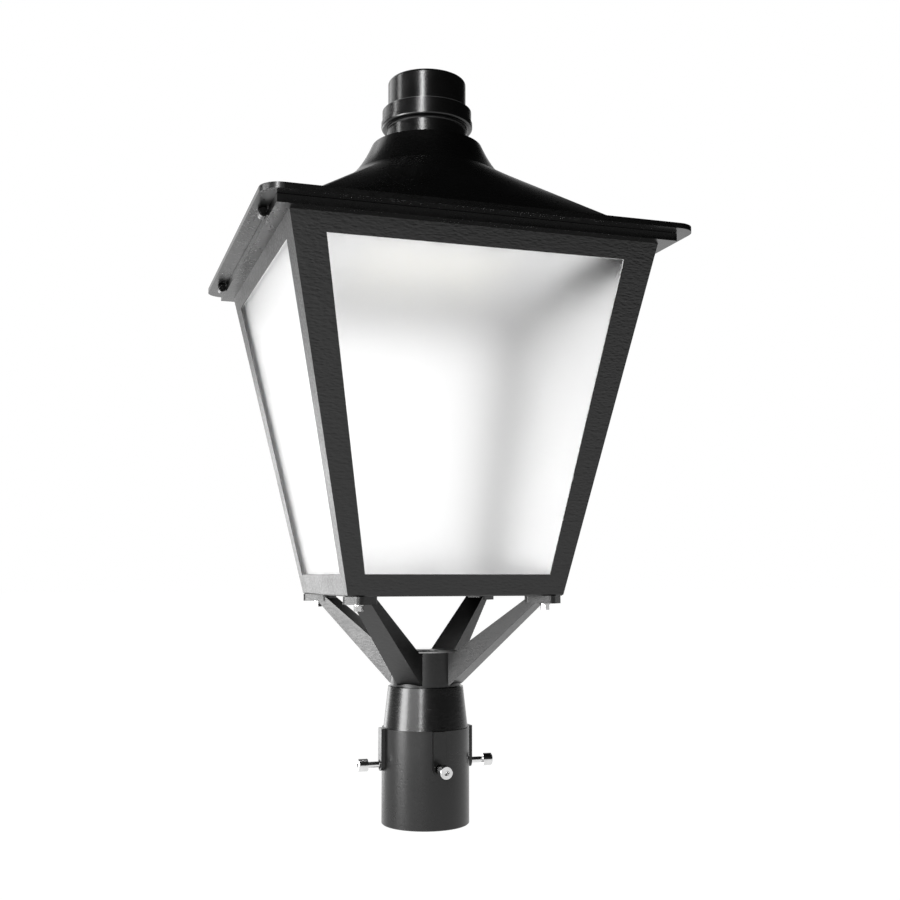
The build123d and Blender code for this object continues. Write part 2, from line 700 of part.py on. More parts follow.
# hinge pins: a head at the front, the other end spread
with BuildPart() as hinge_pins:
    for y in hinge_places:
        front = y - hinge_gap / 2 - hinge_ear
        back = y + hinge_gap / 2 + hinge_ear + hinge_gap
        with BuildSketch(hinge_plane(back)):
            with Locations((hinge_x, hinge_z)):
                Circle(hinge_pin_radius)
        extrude(amount=back - front)
        with BuildSketch(hinge_plane(front)):
            with Locations((hinge_x, hinge_z)):
                Circle(hinge_pin_head_radius)
        extrude(amount=hinge_pin_head)
        with BuildSketch(hinge_plane(back)):
            with Locations((hinge_x, hinge_z)):
                Circle(hinge_pin_head_radius)
        extrude(amount=-hinge_pin_head)
hinge_pins.part.label = "hinge_pins"
export_step(hinge_pins.part, "parts/hinge_pins.step")

# captive screws on the side away from the hinge, one solid each
for side, place in roof_screw_places.items():
    with BuildPart() as roof_screw:
        with BuildSketch(Plane.XY.offset(cage_top - roof_screw_head_height)):
            with Locations(place):
                Circle(roof_screw_head_diameter / 2)
        extrude(amount=roof_screw_head_height)
        with BuildSketch(Plane.XY.offset(cage_top - roof_screw_head_height)):
            with Locations(place):
                RegularPolygon(roof_screw_head_diameter / 4, 6, major_radius=False)
        extrude(amount=roof_screw_head_height / 2, mode=Mode.SUBTRACT)
        with BuildSketch(Plane.XY.offset(cage_top)):
            with Locations(place):
                Circle(roof_screw_diameter / 2)
        extrude(amount=rim_thickness + roof_gap + roof_screw_bite)
    roof_screw.part.label = "roof_screw_" + side
    export_step(roof_screw.part, "parts/roof_screw_" + side + ".step")

# roof: a flat square brim, a hat that runs from square to round, and a bell
with BuildPart() as roof_shell:
    with BuildSketch(Plane.XY.offset(flange_bottom)):
        RectangleRounded(roof_width, roof_width, roof_corner)
    extrude(amount=flange_thickness)
    with BuildSketch(Plane.XY.offset(flange_top)):
        RectangleRounded(hat_base_width, hat_base_width, hat_base_corner)
    with BuildSketch(Plane.XY.offset(shoulder_height)):
        Circle(hat_shoulder_radius)
    loft()
    with BuildSketch(Plane.XZ):
        with BuildLine():
            bell = SagittaArc((hat_shoulder_radius, shoulder_height), (hat_top_radius, hat_top),
                              hat_bell_hollow)
            Polyline(bell @ 1, (0, hat_top), (0, shoulder_height), bell @ 0)
        make_face()
    revolve(axis=Axis.Z)
    # hollow the hat from below
    with BuildSketch(Plane.XY.offset(flange_bottom)):
        Rectangle(roof_opening, roof_opening)
    extrude(amount=flange_thickness, mode=Mode.SUBTRACT)
    hollow_width = hat_base_width - 2 * hat_skirt_wall
    with BuildSketch(Plane.XY.offset(flange_top)):
        RectangleRounded(hollow_width, hollow_width, hat_base_corner)
    with BuildSketch(Plane.XY.offset(shoulder_height - hat_wall / 2)):
        Circle(hat_shoulder_radius - hat_wall)
    loft(mode=Mode.SUBTRACT)
    with BuildSketch(Plane.XZ):
        with BuildLine():
            low = (hat_shoulder_radius - hat_wall, shoulder_height - hat_wall / 2)
            high = (hat_top_radius - hat_wall, hat_top - hat_top_plate)
            inner_bell = SagittaArc(low, high, hat_bell_hollow)
            Polyline(high, (0, high[1]), (0, low[1]), low)
        make_face()
    revolve(axis=Axis.Z, mode=Mode.SUBTRACT)
    with Locations(Plane.XY.offset(hat_top)):
        Hole(socket_spigot_radius + socket_fit, depth=hat_top_plate)
    for y in hinge_places:
        with BuildSketch(hinge_plane(y + hinge_gap / 2 + hinge_ear)):
            with Locations((hinge_x, hinge_z)):
                Circle(hinge_barrel_radius)
            with Locations((hinge_x, hinge_z + hinge_drop / 2 + rib_bury)):
                Rectangle(2 * hinge_barrel_radius, hinge_drop + 2 * rib_bury)
            with Locations((hinge_x, hinge_z)):
                Circle(hinge_pin_radius + pin_clearance, mode=Mode.SUBTRACT)
        extrude(amount=hinge_ear)
    with Locations(Plane(origin=(0, 0, flange_bottom), x_dir=(1, 0, 0), z_dir=(0, 0, -1))):
        with Locations(*tray_screw_places):
            Hole(small_screw_diameter / 2 + screw_clearance, depth=tray_screw_bite + blind_play)
        with Locations(*roof_screw_places.values()):
            Hole(roof_screw_diameter / 2 + roof_screw_clearance, depth=roof_screw_bite + blind_play)
roof_shell.part.label = "roof_shell"
export_step(roof_shell.part, "parts/roof_shell.step")

# tray across the roof's opening: it carries the lamps below and the driver above
with BuildPart() as lamp_tray:
    with BuildSketch(Plane.XY.offset(tray_bottom)):
        Rectangle(tray_width, tray_width)
        with Locations(*tray_screw_places):
            Circle(small_screw_diameter / 2 + screw_clearance, mode=Mode.SUBTRACT)
        with Locations(*reflector_screw_places):
            Circle(small_screw_diameter / 2 + screw_clearance, mode=Mode.SUBTRACT)
        with Locations(*driver_screw_places, *terminal_screw_places):
            Circle(small_screw_diameter / 2 + screw_clearance, mode=Mode.SUBTRACT)
    extrude(amount=tray_gauge)
lamp_tray.part.label = "lamp_tray"
export_step(lamp_tray.part, "parts/lamp_tray.step")

with BuildPart() as tray_screws:
    with BuildSketch(Plane.XY.offset(tray_bottom)):
        with Locations(*tray_screw_places):
            Circle(small_screw_diameter * pan_head_spread)
    extrude(amount=-small_screw_diameter * pan_head_rise)
    with BuildSketch(Plane.XY.offset(tray_bottom)):
        with Locations(*tray_screw_places):
            Circle(small_screw_diameter / 2)
    extrude(amount=tray_gauge + tray_screw_bite)
tray_screws.part.label = "tray_screws"
export_step(tray_screws.part, "parts/tray_screws.step")

# white reflector below the tray: a shallow pan with a window for the lamps
with BuildPart() as reflector:
    with BuildSketch(Plane.XY.offset(tray_bottom - reflector_depth)):
        Rectangle(reflector_width, reflector_width)
    extrude(amount=reflector_depth)
    with BuildSketch(Plane.XY.offset(tray_bottom - reflector_depth + reflector_gauge)):
        Rectangle(reflector_width - 2 * reflector_gauge, reflector_width - 2 * reflector_gauge)
    extrude(amount=reflector_depth, mode=Mode.SUBTRACT)
    with BuildSketch(Plane.XY.offset(tray_bottom - reflector_depth)):
        Rectangle(reflector_window, reflector_window)
        with Locations(*reflector_screw_places):
            Circle(small_screw_diameter / 2 + screw_clearance)
    extrude(amount=reflector_gauge, mode=Mode.SUBTRACT)
reflector.part.label = "reflector"
export_step(reflector.part, "parts/reflector.step")

with BuildPart() as reflector_screws:
    with BuildSketch(Plane.XY.offset(tray_bottom - reflector_depth)):
        with Locations(*reflector_screw_places):
            Circle(reflector_screw_head / 2)
    extrude(amount=-reflector_screw_head_height)
    with BuildSketch(Plane.XY.offset(tray_bottom - reflector_depth)):
        with Locations(*reflector_screw_places):
            Circle(small_screw_diameter / 2)
    extrude(amount=reflector_depth + tray_gauge)
reflector_screws.part.label = "reflector_screws"
export_step(reflector_screws.part, "parts/reflector_screws.step")

# lamp board with its rows of lamps
with BuildPart() as lamp_board:
    with BuildSketch(Plane.XY.offset(tray_bottom - board_gauge)):
        Rectangle(board_width, board_width)
    extrude(amount=board_gauge)
lamp_board.part.label = "lamp_board"
export_step(lamp_board.part, "parts/lamp_board.step")

with BuildPart() as lamps:
    with BuildSketch(Plane.XY.offset(tray_bottom - board_gauge)):
        with GridLocations(led_pitch, led_pitch, led_rows, led_rows):
            Rectangle(led_size, led_size)
    extrude(amount=-led_height)
lamps.part.label = "lamps"
export_step(lamps.part, "parts/lamps.step")

# driver on top of the tray, held through its end tabs
with BuildPart() as lamp_driver:
    with BuildSketch(Plane.XY.offset(flange_bottom)):
        RectangleRounded(driver_length, driver_width, driver_corner)
    extrude(amount=driver_height)
    chamfer(lamp_driver.edges().group_by(Axis.Z)[-1], driver_edge)
    with BuildSketch(Plane.XY.offset(flange_bottom)):
        Rectangle(driver_length + 2 * driver_tab, driver_width / 2)
        with Locations(*driver_screw_places):
            Circle(small_screw_diameter / 2 + screw_clearance, mode=Mode.SUBTRACT)
    extrude(amount=driver_tab_gauge)
lamp_driver.part.label = "lamp_driver"
export_step(lamp_driver.part, "parts/lamp_driver.step")

with BuildPart() as driver_screws:
    with BuildSketch(Plane.XY.offset(flange_bottom + driver_tab_gauge)):
        with Locations(*driver_screw_places):
            Circle(small_screw_diameter * pan_head_spread)
    extrude(amount=small_screw_diameter * pan_head_rise)
    with BuildSketch(Plane.XY.offset(flange_bottom + driver_tab_gauge)):
        with Locations(*driver_screw_places):
            Circle(small_screw_diameter / 2)
    extrude(amount=-driver_tab_gauge - tray_gauge)
driver_screws.part.label = "driver_screws"
export_step(driver_screws.part, "parts/driver_screws.step")

# terminal block beside the driver: a wire bore and a clamp screw's well for each lead
with BuildPart() as terminal_block:
    with BuildSketch(Plane.XY.offset(flange_bottom)):
        with Locations((terminal_x, 0)):
            Rectangle(terminal_width, terminal_length)
    extrude(amount=terminal_height)
    with BuildSketch(Plane.XY.offset(flange_bottom)):
        with Locations((terminal_x, 0)):
            Rectangle(terminal_width / 2, terminal_length + 2 * terminal_tab)
        with Locations(*terminal_screw_places):
            Circle(small_screw_diameter / 2 + screw_clearance, mode=Mode.SUBTRACT)
    extrude(amount=driver_tab_gauge)
    with Locations(Plane.XY.offset(flange_bottom + terminal_height)):
        with Locations(*[(terminal_x, y) for y in terminal_row]):
            Hole(terminal_well / 2, depth=terminal_height / 2)
    with BuildSketch(Plane.YZ.offset(terminal_x + terminal_width / 2)):
        with Locations(*[(y, flange_bottom + terminal_height / 2) for y in terminal_row]):
            Circle(terminal_bore / 2)
    extrude(amount=-terminal_width, mode=Mode.SUBTRACT)
terminal_block.part.label = "terminal_block"
export_step(terminal_block.part, "parts/terminal_block.step")

with BuildPart() as terminal_screws:
    with BuildSketch(Plane.XY.offset(flange_bottom + driver_tab_gauge)):
        with Locations(*terminal_screw_places):
            Circle(small_screw_diameter * pan_head_spread)
    extrude(amount=small_screw_diameter * pan_head_rise)
    with BuildSketch(Plane.XY.offset(flange_bottom + driver_tab_gauge)):
        with Locations(*terminal_screw_places):
            Circle(small_screw_diameter / 2)
    extrude(amount=-driver_tab_gauge - tray_gauge)
terminal_screws.part.label = "terminal_screws"
export_step(terminal_screws.part, "parts/terminal_screws.step")

# photocell socket: it closes the top of the bell, with a curved slot for each blade
blade_corner = sqrt((blade_circle / 2 + blade_thickness / 2) ** 2 + (blade_width / 2) ** 2)
slot_outer = blade_corner + blade_play
slot_inner = blade_circle / 2 - blade_thickness / 2 - blade_play
slot_margin = degrees(atan((blade_width / 2 + blade_play) / slot_inner))
with BuildPart() as photocell_socket:
    with BuildSketch(Plane.XY.offset(hat_top)):
        Circle(socket_radius)
    extrude(amount=socket_height)
    with BuildSketch(Plane.XY.offset(hat_top)):
        Circle(socket_spigot_radius)
    extrude(amount=-socket_spigot_length)
    for i in range(blade_count):
        start = full_turn * i / blade_count - slot_margin
        with BuildSketch(Plane.XY.offset(socket_top)):
            with BuildLine():
                far = CenterArc((0, 0), slot_outer, start, twist_angle + 2 * slot_margin)
                near = CenterArc((0, 0), slot_inner, start, twist_angle + 2 * slot_margin)
                Line(far @ 0, near @ 0)
                Line(far @ 1, near @ 1)
            make_face()
        extrude(amount=-blade_length - blade_end_gap, mode=Mode.SUBTRACT)
photocell_socket.part.label = "photocell_socket"
export_step(photocell_socket.part, "parts/photocell_socket.step")

# photocell: cover, base, contact blades and a seal that turn together
cap_bottom = socket_top + roof_gap + cap_seal_thickness
with BuildPart() as photocell_cover:
    with BuildSketch(Plane.XZ):
        with BuildLine():
            Polyline((0, cap_bottom + cap_height), (cap_body_radius, cap_bottom + cap_height),
                     (cap_body_radius, cap_bottom + cap_ring_height),
                     (cap_ring_radius, cap_bottom + cap_ring_height),
                     (cap_ring_radius, cap_bottom + cap_lip_height),
                     (cap_lip_radius, cap_bottom + cap_lip_height),
                     (cap_lip_radius, cap_bottom), (cap_body_radius - cap_wall, cap_bottom),
                     (cap_body_radius - cap_wall, cap_bottom + cap_height - cap_wall),
                     (0, cap_bottom + cap_height - cap_wall), close=True)
        make_face()
    revolve(axis=Axis.Z)
    circles = photocell_cover.edges().filter_by(GeomType.CIRCLE)
    lip_edges = circles.filter_by(lambda e: e.radius > cap_ring_radius + screw_clearance)
    fillet(lip_edges.sort_by(Axis.Z)[0], cap_ring_round)
    fillet(photocell_cover.edges().filter_by(GeomType.CIRCLE).sort_by(Axis.Z)[-1], cap_top_round)
photocell_cover.part.label = "photocell_cover"
export_step(photocell_cover.part, "parts/photocell_cover.step")

with BuildPart() as photocell_base:
    with BuildSketch(Plane.XY.offset(cap_bottom)):
        Circle(cap_body_radius - cap_wall - socket_fit)
    extrude(amount=cap_base_thickness)
photocell_base.part.label = "photocell_base"
export_step(photocell_base.part, "parts/photocell_base.step")

with BuildPart() as contact_blades:
    with BuildSketch(Plane.XY.offset(cap_bottom)):
        with PolarLocations(blade_circle / 2, blade_count):
            Rectangle(blade_thickness, blade_width)
    extrude(amount=-(cap_bottom - socket_top + blade_length))
contact_blades.part.label = "contact_blades"
export_step(contact_blades.part, "parts/contact_blades.step")

with BuildPart() as photocell_seal:
    with BuildSketch(Plane.XY.offset(cap_bottom)):
        Circle(socket_radius)
        Circle(cap_seal_inner / 2, mode=Mode.SUBTRACT)
    extrude(amount=-cap_seal_thickness)
photocell_seal.part.label = "photocell_seal"
export_step(photocell_seal.part, "parts/photocell_seal.step")
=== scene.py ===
import math

import bpy
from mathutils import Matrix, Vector


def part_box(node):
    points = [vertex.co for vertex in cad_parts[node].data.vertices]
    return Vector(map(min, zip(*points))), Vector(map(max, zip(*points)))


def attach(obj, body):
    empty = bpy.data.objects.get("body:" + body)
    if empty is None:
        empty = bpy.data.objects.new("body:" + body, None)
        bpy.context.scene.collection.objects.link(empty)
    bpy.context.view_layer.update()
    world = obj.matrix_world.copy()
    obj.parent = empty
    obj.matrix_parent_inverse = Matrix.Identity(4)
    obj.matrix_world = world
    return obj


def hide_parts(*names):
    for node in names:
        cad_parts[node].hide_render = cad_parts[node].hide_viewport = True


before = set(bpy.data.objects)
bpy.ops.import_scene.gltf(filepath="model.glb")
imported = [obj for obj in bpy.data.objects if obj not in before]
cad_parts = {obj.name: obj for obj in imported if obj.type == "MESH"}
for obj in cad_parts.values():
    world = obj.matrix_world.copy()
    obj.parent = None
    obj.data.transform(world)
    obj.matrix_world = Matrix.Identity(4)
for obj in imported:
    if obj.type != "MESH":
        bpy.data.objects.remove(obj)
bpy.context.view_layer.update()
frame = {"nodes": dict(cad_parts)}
nodes = frame["nodes"]
print("frame loaded,", len(nodes), "pieces")


class Socket:
    # a shader socket that takes part in Python expressions
    def __init__(self, tree, link):
        self.tree = tree
        self.link = link

    def maths(self, operation, a, b):
        return self.tree.node("ShaderNodeMath", {"operation": operation}, {0: a, 1: b})

    def __add__(self, other):
        return self.maths("ADD", self, other)

    def __radd__(self, other):
        return self.maths("ADD", other, self)

    def __mul__(self, other):
        return self.maths("MULTIPLY", self, other)

    def __rmul__(self, other):
        return self.maths("MULTIPLY", other, self)

    def neighbour(self, output):
        # another output of the same node
        return Socket(self.tree, self.link.node.outputs[output])


class Tree:
    # a material's or the world's node tree
    def __init__(self, owner):
        owner.use_nodes = True
        self.nodes = owner.node_tree.nodes
        self.links = owner.node_tree.links
        self.nodes.clear()

    def node(self, kind, settings=None, inputs=None, output=0):
        made = self.nodes.new(kind)
        for name, value in (settings or {}).items():
            setattr(made, name, value)
        for name, value in (inputs or {}).items():
            if isinstance(value, Socket):
                self.links.new(value.link, made.inputs[name])
            else:
                made.inputs[name].default_value = value
        return Socket(self, made.outputs[output]) if made.outputs else made

    def place(self):
        return self.node("ShaderNodeTexCoord", output="Object")

    def noise(self, size, detail, roughness=0.5, place=None):
        # size is the pattern's grain in metres
        return self.node("ShaderNodeTexNoise", None,
                         {"Vector": place or self.place(), "Scale": 1 / size, "Detail": detail,
                          "Roughness": roughness})

    def cells(self, size, smooth, place):
        return self.node("ShaderNodeTexVoronoi", {"feature": "SMOOTH_F1"},
                         {"Vector": place, "Scale": 1 / size, "Smoothness": smooth})

    def spread(self, value, low, high, toLow, toHigh, settings=None):
        return self.node("ShaderNodeMapRange", settings,
                         {"Value": value, "From Min": low, "From Max": high, "To Min": toLow,
                          "To Max": toHigh})

    def blend(self, factor, a, b):
        return self.node("ShaderNodeMix", {"data_type": "RGBA"}, {0: factor, 6: a, 7: b}, output=2)

    def bump(self, height, depth):
        return self.node("ShaderNodeBump", None, {"Height": height, "Distance": depth, "Strength": 1.0})

    def finish(self, inputs):
        shader = self.node("ShaderNodeBsdfPrincipled", None, inputs)
        self.node("ShaderNodeOutputMaterial", None, {"Surface": shader})


def newMaterial(name):
    material = bpy.data.materials.new(name)
    return material, Tree(material)


def grey(value):
    return (value, value, value, 1)


def paint(names, material):
    for name in names:
        mesh = nodes[name].data
        mesh.materials.clear()
        mesh.materials.append(material)


# the bell under the photocell: its top is lower and wider than the solid's, with the measured curve
bell = {"shoulder": 0.6614, "drop": 0.0081, "spread": 0.0061, "fullness": 0.0016,
        "inner": 0.03, "outer": 0.045,  # the widening fades in between these radii
        "slots": 0.02,  # the contact slots lie within this radius
        "play": 0.00001}
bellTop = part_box("roof_shell")[1][2]


def bellPoint(point):
    climb = max(0.0, (point.z - bell["shoulder"]) / (bellTop - bell["shoulder"]))
    radius = math.hypot(point.x, point.y)
    reach = min(1.0, max(0.0, (radius - bell["inner"]) / (bell["outer"] - bell["inner"])))
    bulge = 4 * climb * (1 - climb)  # 1 halfway up, 0 at both ends
    wider = reach * (bell["spread"] * climb + bell["fullness"] * bulge)
    stretch = 1 + wider / max(radius, bell["inner"])
    return Vector((point.x * stretch, point.y * stretch, point.z - bell["drop"] * climb))


def seatPoint(point):
    # the socket's foot follows the bell down, its contact slots stay
    low = point.z < bellTop + bell["play"] and math.hypot(point.x, point.y) > bell["slots"]
    return Vector((point.x, point.y, point.z - bell["drop"])) if low else point


def reshape(name, node, body, move):
    # a copy keeps the solid's own shading
    mesh = nodes[node].data.copy()
    mesh.name = name
    for vertex in mesh.vertices:
        vertex.co = move(vertex.co)
    piece = bpy.data.objects.new(name, mesh)
    bpy.context.scene.collection.objects.link(piece)
    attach(piece, body)
    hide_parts(node)
    nodes[name] = piece


reshape("roof_hat", "roof_shell", "roof", bellPoint)
reshape("photocell_seat", "photocell_socket", "roof", seatPoint)
print("bell and socket shaped")

# black powder coat, its film drawn into short level waves
cageCoat = {"drawn": (0.45, 0.45, 1.1), "grain": 0.0024, "smooth": 0.6, "fine": 0.0012, "cloud": 0.04,
            "grainHeight": 0.7, "fineHeight": 0.5, "depth": 0.0004, "dark": 0.001, "light": 0.005,
            "cloudShare": 0.6, "grainShare": 0.4, "dullFrom": 0.2, "dullFull": 0.8,
            "roughLow": 0.3, "roughHigh": 0.44}
# the other castings are smoother, and the roof is darker too
sleeveCoat = {**cageCoat, "depth": 0.00006, "roughLow": 0.25, "roughHigh": 0.36}
collarCoat = {**cageCoat, "depth": 0.00004, "roughLow": 0.2, "roughHigh": 0.3}
yokeCoat = {**cageCoat, "depth": 0.00008, "roughLow": 0.28, "roughHigh": 0.4}
roofCoat = {**cageCoat, "depth": 0.00003, "roughLow": 0.24, "roughHigh": 0.33,
            "dark": 0.0005, "light": 0.0015}


def makePowderCoat(name, values):
    material, tree = newMaterial(name)
    drawn = tree.node("ShaderNodeMapping", None, {"Vector": tree.place(), "Scale": values["drawn"]})
    grain = tree.cells(values["grain"], values["smooth"], drawn)
    fine = tree.noise(values["fine"], 2, place=drawn)
    cloud = tree.noise(values["cloud"], 2)
    height = grain * values["grainHeight"] + fine * values["fineHeight"]
    tone = cloud * 0.5 + fine * 0.5  # the mean of both
    dull = cloud * values["cloudShare"] + grain * values["grainShare"]
    tree.finish({"Base Color": tree.blend(tone, grey(values["dark"]), grey(values["light"])),
                 "Roughness": tree.spread(dull, values["dullFrom"], values["dullFull"], values["roughLow"],
                                          values["roughHigh"]),
                 "Normal": tree.bump(height, values["depth"])})
    return material


paint(["cage_frame"], makePowderCoat("powder_coat", cageCoat))
paint(["yoke"], makePowderCoat("yoke_coat", yokeCoat))
paint(["cone_collar"], makePowderCoat("cast_coat", collarCoat))
paint(["post_sleeve"], makePowderCoat("smooth_coat", sleeveCoat))
paint(["roof_hat", "top_rim"], makePowderCoat("roof_coat", roofCoat))


# moulded black plastic of the photocell and the gland, with a painted highlight line where the cap's ring
# starts
plastic = {"grain": 0.0005, "cloud": 0.03, "depth": 0.00004, "dark": 0.0006, "light": 0.003,
           "grainShare": 0.4, "dullFrom": 0.4, "dullFull": 1.0, "roughLow": 0.18, "roughHigh": 0.27,
           "seamHeight": 0.7361, "seamHalf": 0.0002, "seamHighlightTone": 0.045}


def makePlastic():
    material, tree = newMaterial("moulded_plastic")
    grain = tree.noise(plastic["grain"], 3)
    cloud = tree.noise(plastic["cloud"], 2)
    height = tree.node("ShaderNodeSeparateXYZ", None, {"Vector": tree.place()}, output="Z")
    # a thin band at the ring's seam height is painted lighter: a painted highlight for the ring's edge
    # catching light
    seamHighlightBand = tree.node("ShaderNodeMath", {"operation": "COMPARE"},
                     {0: height, 1: plastic["seamHeight"], 2: plastic["seamHalf"]})
    body = tree.blend(cloud, grey(plastic["dark"]), grey(plastic["light"]))
    tree.finish({"Base Color": tree.blend(seamHighlightBand, body, grey(plastic["seamHighlightTone"])),
                 "Roughness": tree.spread(cloud + grain * plastic["grainShare"], plastic["dullFrom"],
                                          plastic["dullFull"], plastic["roughLow"], plastic["roughHigh"]),
                 "Normal": tree.bump(grain, plastic["depth"])})
    return material


paint(["photocell_cover", "photocell_base", "photocell_seat", "cable_gland"], makePlastic())


# turned steel: bright on the visible screws, black on the hinge pins, zinc plated inside
brightSteel = {"scratch": 0.0004, "wear": 0.7, "cloud": 0.006, "depth": 0.00002, "dark": 0.55, "light": 0.75,
               "dullFrom": 0.2, "dullFull": 0.8, "roughLow": 0.09, "roughHigh": 0.22}
blackSteel = {**brightSteel, "dark": 0.03, "light": 0.06, "roughLow": 0.13, "roughHigh": 0.26}
zincSteel = {**brightSteel, "dark": 0.35, "light": 0.55, "roughLow": 0.33, "roughHigh": 0.46}


def makeSteel(name, values):
    material, tree = newMaterial(name)
    scratches = tree.noise(values["scratch"], 4, values["wear"])
    cloud = tree.noise(values["cloud"], 3)
    tree.finish({"Base Color": tree.blend(cloud, grey(values["dark"]), grey(values["light"])),
                 "Metallic": 1.0,
                 "Roughness": tree.spread(scratches, values["dullFrom"], values["dullFull"],
                                          values["roughLow"], values["roughHigh"]),
                 "Normal": tree.bump(scratches, values["depth"])})
    return material


paint(["set_screw_front", "set_screw_right", "set_screw_back", "set_screw_left", "foot_bolts", "foot_washers",
       "roof_screw_front", "roof_screw_back"], makeSteel("bright_steel", brightSteel))
paint(["hinge_pins"], makeSteel("blackened_steel", blackSteel))
paint(["hub_screws", "clip_screws", "pane_clips", "floor_screws", "rim_screws", "tray_screws",
       "reflector_screws", "driver_screws", "terminal_screws"], makeSteel("zinc_steel", zincSteel))


# frosted panes
frosted = {"grain": 0.0006, "cloud": 0.05, "depth": 0.00005, "dark": 0.96, "light": 0.99,
           "roughLow": 0.59, "roughHigh": 0.65, "ior": 1.2}


def makeFrosted():
    material, tree = newMaterial("frosted_pane")
    grain = tree.noise(frosted["grain"], 2)
    cloud = tree.noise(frosted["cloud"], 2)
    tree.finish({"Base Color": tree.blend(cloud, grey(frosted["dark"]), grey(frosted["light"])),
                 "Roughness": tree.spread(cloud, 0, 1, frosted["roughLow"], frosted["roughHigh"]),
                 "IOR": frosted["ior"], "Transmission Weight": 1.0,
                 "Normal": tree.bump(grain, frosted["depth"])})
    return material


paint(["pane_front", "pane_right", "pane_back", "pane_left"], makeFrosted())


# gaskets and seals
rubber = {"grain": 0.0008, "depth": 0.00008, "dark": 0.012, "light": 0.03, "roughLow": 0.7, "roughHigh": 0.9}


def makeRubber():
    material, tree = newMaterial("seal_rubber")
    grain = tree.noise(rubber["grain"], 3)
    tree.finish({"Base Color": tree.blend(grain, grey(rubber["dark"]), grey(rubber["light"])),
                 "Roughness": tree.spread(grain, 0, 1, rubber["roughLow"], rubber["roughHigh"]),
                 "Normal": tree.bump(grain, rubber["depth"])})
    return material


paint(["pane_gaskets", "roof_seal", "photocell_seal"], makeRubber())


# white inside, a little greyer on the lamp board
trayEnamel = {"grain": 0.002, "cloud": 0.05, "depth": 0.00006, "dark": 0.86, "light": 0.9,
              "roughLow": 0.35, "roughHigh": 0.5}
boardMask = {**trayEnamel, "dark": 0.78, "light": 0.84}


def makeWhiteEnamel(name, values):
    material, tree = newMaterial(name)
    grain = tree.noise(values["grain"], 2)
    cloud = tree.noise(values["cloud"], 2)
    tree.finish({"Base Color": tree.blend(cloud, grey(values["dark"]), grey(values["light"])),
                 "Roughness": tree.spread(cloud, 0, 1, values["roughLow"], values["roughHigh"]),
                 "Normal": tree.bump(grain, values["depth"])})
    return material


paint(["floor_plate", "reflector", "lamp_tray"], makeWhiteEnamel("white_enamel", trayEnamel))
paint(["lamp_board"], makeWhiteEnamel("board_mask", boardMask))


# the driver's can
aluminium = {"streak": 0.002, "wear": 0.6, "depth": 0.00003, "dark": 0.5, "light": 0.66,
             "roughLow": 0.35, "roughHigh": 0.5}


def makeAluminium():
    material, tree = newMaterial("mill_aluminium")
    streaks = tree.noise(aluminium["streak"], 4, aluminium["wear"])
    tree.finish({"Base Color": tree.blend(streaks, grey(aluminium["dark"]), grey(aluminium["light"])),
                 "Metallic": 1.0,
                 "Roughness": tree.spread(streaks, 0, 1, aluminium["roughLow"], aluminium["roughHigh"]),
                 "Normal": tree.bump(streaks, aluminium["depth"])})
    return material


paint(["lamp_driver"], makeAluminium())


# yellow phosphor with a faint white glow
phosphor = {"grain": 0.0006, "dark": (0.85, 0.75, 0.3, 1), "light": (0.95, 0.86, 0.42, 1),
            "roughLow": 0.25, "roughHigh": 0.4, "coolGlow": (0.98, 0.99, 1, 1), "glow": 1.5}


def makeLamps():
    material, tree = newMaterial("lamp_phosphor")
    grain = tree.noise(phosphor["grain"], 2)
    tree.finish({"Base Color": tree.blend(grain, phosphor["dark"], phosphor["light"]),
                 "Roughness": tree.spread(grain, 0, 1, phosphor["roughLow"], phosphor["roughHigh"]),
                 "Emission Color": tree.blend(grain, phosphor["coolGlow"], grey(1)),
                 "Emission Strength": phosphor["glow"]})
    return material


paint(["lamps"], makeLamps())


# the terminal block
nylon = {"grain": 0.0008, "cloud": 0.02, "depth": 0.00004, "dark": (0.62, 0.6, 0.54, 1),
         "light": (0.7, 0.68, 0.62, 1), "roughLow": 0.4, "roughHigh": 0.55}


def makeNylon():
    material, tree = newMaterial("pale_nylon")
    grain = tree.noise(nylon["grain"], 2)
    cloud = tree.noise(nylon["cloud"], 2)
    tree.finish({"Base Color": tree.blend(cloud, nylon["dark"], nylon["light"]),
                 "Roughness": tree.spread(grain, 0, 1, nylon["roughLow"], nylon["roughHigh"]),
                 "Normal": tree.bump(grain, nylon["depth"])})
    return material


paint(["terminal_block"], makeNylon())


# the photocell's blades
brass = {"grain": 0.0008, "dark": (0.62, 0.42, 0.16, 1), "light": (0.8, 0.6, 0.28, 1),
         "roughLow": 0.2, "roughHigh": 0.36}


def makeBrass():
    material, tree = newMaterial("contact_brass")
    grain = tree.noise(brass["grain"], 3)
    tree.finish({"Base Color": tree.blend(grain, brass["dark"], brass["light"]), "Metallic": 1.0,
                 "Roughness": tree.spread(grain, 0, 1, brass["roughLow"], brass["roughHigh"])})
    return material


paint(["contact_blades"], makeBrass())
print("finishes made")

# a white floor well below the lantern, which takes its shadow and glows to the camera
floorPaper = {"drop": 0.6, "size": 120.0, "cloud": 0.4, "dark": 0.9, "light": 0.93,
              "share": 0.85, "glow": 1.17}


